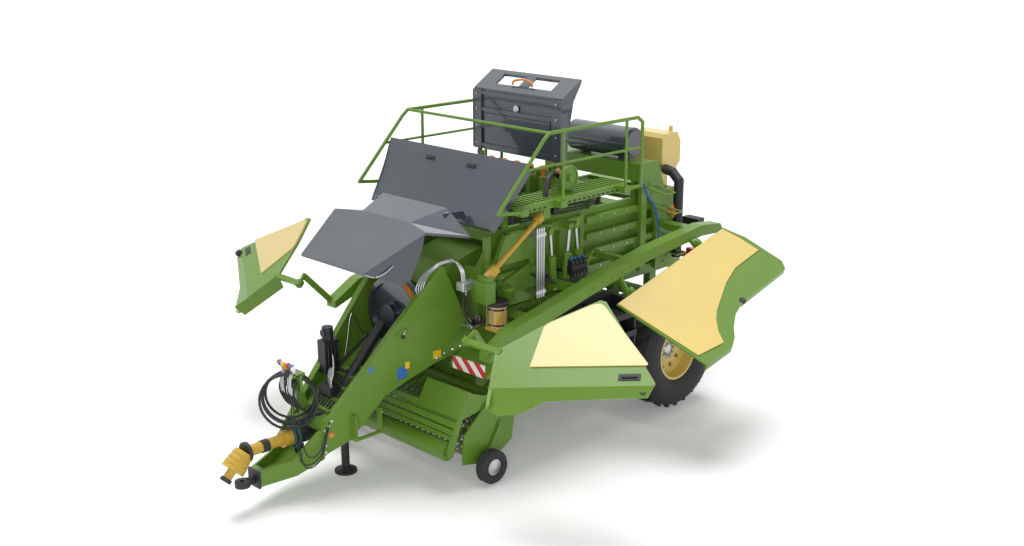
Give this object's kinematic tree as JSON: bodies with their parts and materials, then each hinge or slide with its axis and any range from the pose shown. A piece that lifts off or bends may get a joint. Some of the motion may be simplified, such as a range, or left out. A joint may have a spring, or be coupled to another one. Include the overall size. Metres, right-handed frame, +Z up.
{
  "type": "large square baler",
  "caption": "Trailed large square baler with a plated drawbar, tined pick-up, ribbed bale channel, raised dark hoods and side flaps swung open.",
  "frame": {"origin": "centre of the bounding box on the floor, with hoods and flaps as stored", "axes": "+X forward to the hitch, +Y to the left, +Z up"},
  "size_m": [7.3748, 6.676, 3.97],
  "materials": {
    "green": "gloss paint",
    "light": "gloss moulded panel",
    "dark": "metallic paint",
    "black": "matt black",
    "rubber": "rubber hose",
    "tyre": "tyre rubber",
    "steel": "bright steel",
    "amber": "yellow guard",
    "red": "reflective"
  },
  "bodies": {
    "frame": {"drawbar": "green", "tongue": "green", "hitch_eye": "black", "pto_shaft": "amber", "pto_sleeves": "black", "hose_post": "green", "hoses": "rubber", "step_channel": "green", "valve_block": "black", "press_body": "green", "gearbox": "green", "chassis": "green", "feeder": "green", "aprons": "green", "axle": "black", "bale_channel": "green", "channel_sides": "green", "rear_frame": "green", "air_tank": "dark", "rear_tank": "light", "air_duct": "rubber", "knotters": "green", "upper_panel": "dark", "walkways": "green", "railings": "green", "rail_ties": "green", "side_beams": "green", "twine_racks": "black", "needle_yoke": "green", "grease_tank": "light", "drive_shaft": "amber", "shaft_mounts": "green", "pipes": "steel", "boards": "red", "lamps": "red"},
    "flywheel": {"flywheel": "dark"},
    "jack_leg": {"jack_leg": "black"},
    "wheel_left": {"tyre_left": "tyre", "rim_left": "light"},
    "wheel_right": {"tyre_right": "tyre", "rim_right": "light"},
    "pickup": {"pickup_frame": "green"},
    "reel": {"reel": "steel"},
    "wind_guard": {"wind_guard": "green"},
    "crop_roller": {"crop_roller": "green"},
    "gauge_left": {"gauge_left": "tyre"},
    "gauge_right": {"gauge_right": "tyre"},
    "front_hood": {"front_hood": "dark"},
    "knotter_hood": {"knotter_hood": "dark"},
    "front_flap_left": {"front_flap_left": "green", "front_panel_left": "light"},
    "front_flap_right": {"front_flap_right": "green", "front_panel_right": "light"},
    "rear_flap_left": {"rear_flap_left": "green", "rear_panel_left": "light"},
    "rear_flap_right": {"rear_flap_right": "green", "rear_panel_right": "light"},
    "chute": {"chute": "green"}
  },
  "joints": [
    {"name": "flywheel_spin", "type": "hinge", "parent": "frame", "child": "flywheel", "pos_m": [1.41164, 0, 1.6], "axis": [1, 0, 0], "continuous": true},
    {"name": "jack_slide", "type": "slide", "parent": "frame", "child": "jack_leg", "axis": [0, 0, 1], "range_m": [0, 0.2]},
    {"name": "wheel_left_spin", "type": "hinge", "parent": "frame", "child": "wheel_left", "pos_m": [-1.77836, 1.1, 0.69], "axis": [0, 1, 0], "continuous": true},
    {"name": "wheel_right_spin", "type": "hinge", "parent": "frame", "child": "wheel_right", "pos_m": [-1.77836, -1.1, 0.69], "axis": [0, 1, 0], "continuous": true},
    {"name": "pickup_lift", "type": "hinge", "parent": "frame", "child": "pickup", "pos_m": [0.27164, 0, 0.95], "axis": [0, -1, 0], "range_deg": [0, 8]},
    {"name": "reel_spin", "type": "hinge", "parent": "pickup", "child": "reel", "pos_m": [1.17164, 0, 0.365], "axis": [0, 1, 0], "continuous": true},
    {"name": "wind_guard_pivot", "type": "hinge", "parent": "pickup", "child": "wind_guard", "pos_m": [1.04164, 0, 0.86], "axis": [0, -1, 0], "range_deg": [0, 6]},
    {"name": "crop_roller_spin", "type": "hinge", "parent": "wind_guard", "child": "crop_roller", "pos_m": [1.70164, 0, 0.43], "axis": [0, 1, 0], "continuous": true},
    {"name": "gauge_left_spin", "type": "hinge", "parent": "pickup", "child": "gauge_left", "pos_m": [1.25164, 1.29, 0.18], "axis": [0, 1, 0], "continuous": true},
    {"name": "gauge_right_spin", "type": "hinge", "parent": "pickup", "child": "gauge_right", "pos_m": [1.25164, -1.29, 0.18], "axis": [0, 1, 0], "continuous": true},
    {"name": "front_hood_hinge", "type": "hinge", "parent": "frame", "child": "front_hood", "pos_m": [0.98664, 0, 2.705], "axis": [0, -1, 0], "range_deg": [-32, 0]},
    {"name": "knotter_hood_hinge", "type": "hinge", "parent": "frame", "child": "knotter_hood", "pos_m": [-0.41836, 0, 3.03], "axis": [0, 1, 0], "range_deg": [-90, 0]},
    {"name": "front_flap_left_hinge", "type": "hinge", "parent": "frame", "child": "front_flap_left", "pos_m": [1.78464, 1.356, 1.6], "axis": [0.7158, -0.206, -0.6672], "range_deg": [-79.8, 0]},
    {"name": "front_flap_right_hinge", "type": "hinge", "parent": "frame", "child": "front_flap_right", "pos_m": [1.78464, -1.356, 1.6], "axis": [-0.7158, -0.206, 0.6672], "range_deg": [-79.8, 0]},
    {"name": "rear_flap_left_hinge", "type": "hinge", "parent": "frame", "child": "rear_flap_left", "pos_m": [-0.49836, 1.42, 1.6], "axis": [0.9656, 0, -0.2602], "range_deg": [-57, 0]},
    {"name": "rear_flap_right_hinge", "type": "hinge", "parent": "frame", "child": "rear_flap_right", "pos_m": [-0.49836, -1.42, 1.6], "axis": [-0.9656, 0, 0.2602], "range_deg": [-57, 0]},
    {"name": "chute_fold", "type": "hinge", "parent": "frame", "child": "chute", "pos_m": [-2.63836, 0, 1.45], "axis": [0, 1, 0], "range_deg": [0, 95]}
  ]
}
